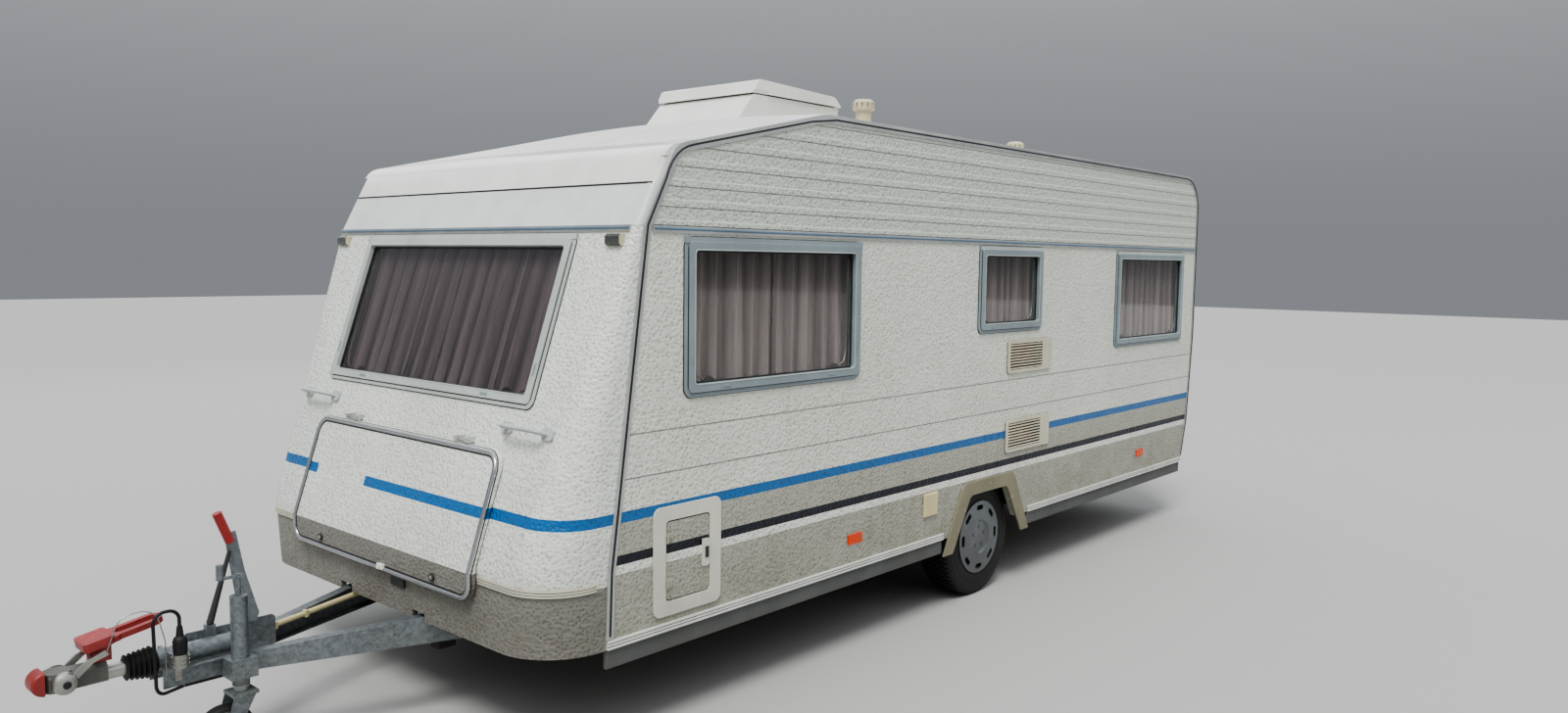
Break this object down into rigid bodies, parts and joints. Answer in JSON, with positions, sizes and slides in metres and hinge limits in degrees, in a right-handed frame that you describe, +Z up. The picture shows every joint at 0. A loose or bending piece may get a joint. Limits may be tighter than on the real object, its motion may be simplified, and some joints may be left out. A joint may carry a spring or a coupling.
{
  "type": "travel caravan",
  "caption": "Single-axle travel caravan with hollow cabin, windows, entrance door, nose locker, roof hood, drawbar with ball coupling, jockey wheel and corner steadies.",
  "frame": {"origin": "on the ground, under the middle of the whole length and width", "axes": "+X forward along the drawbar to the coupling, +Y to the left side, +Z up"},
  "size_m": [7.1152, 2.238, 2.7376],
  "materials": {
    "body_sheet": "hammered sheet, light grey cream, satin",
    "white_grp": "gloss, weathered",
    "window_frame": "satin grey",
    "acrylic": "smoky, gloss",
    "trim_alu": "satin with dark insert",
    "trim_white": "satin",
    "beige_plastic": "satin",
    "sill_grey": "matt",
    "floor_board": "sealed board",
    "furniture": "satin foil",
    "upholstery": "woven",
    "curtain": "sheer, gathered",
    "galvanised": "hot-dip galvanised, spangled",
    "bright_steel": "zinc plated",
    "coupling_grey": "cast, weathered",
    "red_plastic": "faded gloss",
    "black_rubber": "matt",
    "tyre": "matt tread",
    "rim_steel": "silver",
    "cover_silver": "silver lacquer",
    "lamp_red": "lens",
    "pipe_cream": "weathered",
    "grab_grey": "satin"
  },
  "bodies": {
    "root": {"side_wall_left": "body_sheet", "side_wall_right": "body_sheet", "fridge_vents": "beige_plastic", "hatch_frame": "trim_alu", "locker_box": "floor_board", "locker_seat": "trim_alu", "front_band": "body_sheet", "front_cap": "white_grp", "roof": "body_sheet", "hood_trunk": "white_grp", "roof_vents": "white_grp", "floor": "floor_board", "arch_trims": "beige_plastic", "edge_trims": "trim_alu", "sill_trims": "trim_white", "door_frame": "trim_alu", "rear_wall": "body_sheet", "window_frames": "window_frame", "window_panes": "acrylic", "rear_lamps": "lamp_red", "sill_skirts": "sill_grey", "side_lamps": "beige_plastic", "power_inlet": "beige_plastic", "grab_handles": "grab_grey", "drawbar_beams": "galvanised", "chassis_frame": "galvanised", "axle": "galvanised", "steady_brackets": "galvanised", "front_panel": "body_sheet", "overrun_housing": "galvanised", "bellows": "black_rubber", "coupling_head": "coupling_grey", "friction_pads": "bright_steel", "coupling_handle": "red_plastic", "handbrake_lever": "galvanised", "jockey_tube": "galvanised", "front_corner_trims": "beige_plastic", "plug_and_lead": "black_rubber", "drawbar_pipe": "pipe_cream", "furniture": "furniture", "cushions": "upholstery", "curtains": "curtain"},
    "wheel_left": {"tyre_left": "tyre", "rim_left": "rim_steel", "wheel_cover_left": "cover_silver"},
    "wheel_right": {"tyre_right": "tyre", "rim_right": "rim_steel", "wheel_cover_right": "cover_silver"},
    "door": {"entrance_door": "body_sheet", "door_pane": "acrylic"},
    "hatch": {"hatch_door": "body_sheet"},
    "locker": {"locker_lid": "body_sheet"},
    "roof_hood": {"hood_lid": "white_grp"},
    "jockey_leg": {"jockey_inner_tube": "bright_steel"},
    "jockey_swivel": {"jockey_fork": "galvanised"},
    "jockey_roller": {"jockey_wheel": "black_rubber"},
    "steady_fl": {"steady_front_left": "galvanised"},
    "steady_fr": {"steady_front_right": "galvanised"},
    "steady_rl": {"steady_rear_left": "galvanised"},
    "steady_rr": {"steady_rear_right": "galvanised"}
  },
  "joints": [
    {"name": "wheel_left_spin", "type": "hinge", "parent": "root", "child": "wheel_left", "pos_m": [-0.6445, 0.955, 0.325], "axis": [0, 1, 0], "continuous": true},
    {"name": "wheel_right_spin", "type": "hinge", "parent": "root", "child": "wheel_right", "pos_m": [-0.6445, -0.955, 0.325], "axis": [0, 1, 0], "continuous": true},
    {"name": "door_hinge", "type": "hinge", "parent": "root", "child": "door", "pos_m": [0.4665, -1.116, 1.345], "axis": [0, 0, 1], "range_deg": [0, 165]},
    {"name": "hatch_hinge", "type": "hinge", "parent": "root", "child": "hatch", "pos_m": [1.7465, 1.112, 0.6745], "axis": [0, 0, -1], "range_deg": [0, 110]},
    {"name": "locker_hinge", "type": "hinge", "parent": "root", "child": "locker", "pos_m": [2.203, 0, 1.12], "axis": [0, -1, 0], "range_deg": [0, 75]},
    {"name": "hood_hinge", "type": "hinge", "parent": "root", "child": "roof_hood", "pos_m": [-0.2415, 0, 2.654], "axis": [0, -1, 0], "range_deg": [0, 50]},
    {"name": "jockey_slide", "type": "slide", "parent": "root", "child": "jockey_leg", "axis": [0, 0, 1], "range_m": [-0.15, 0.015]},
    {"name": "jockey_swivel_turn", "type": "hinge", "parent": "jockey_leg", "child": "jockey_swivel", "pos_m": [2.9325, 0.122, 0.245], "axis": [0, 0, 1], "continuous": true},
    {"name": "jockey_wheel_spin", "type": "hinge", "parent": "jockey_swivel", "child": "jockey_roller", "pos_m": [2.9945, 0.122, 0.105], "axis": [0, 1, 0], "continuous": true},
    {"name": "steady_fl_hinge", "type": "hinge", "parent": "root", "child": "steady_fl", "pos_m": [1.5325, 0.8, 0.392], "axis": [0, 1, 0], "range_deg": [0, 58]},
    {"name": "steady_fr_hinge", "type": "hinge", "parent": "root", "child": "steady_fr", "pos_m": [1.5325, -0.8, 0.392], "axis": [0, 1, 0], "range_deg": [0, 58]},
    {"name": "steady_rl_hinge", "type": "hinge", "parent": "root", "child": "steady_rl", "pos_m": [-2.8175, 0.8, 0.392], "axis": [0, -1, 0], "range_deg": [0, 58]},
    {"name": "steady_rr_hinge", "type": "hinge", "parent": "root", "child": "steady_rr", "pos_m": [-2.8175, -0.8, 0.392], "axis": [0, -1, 0], "range_deg": [0, 58]}
  ]
}
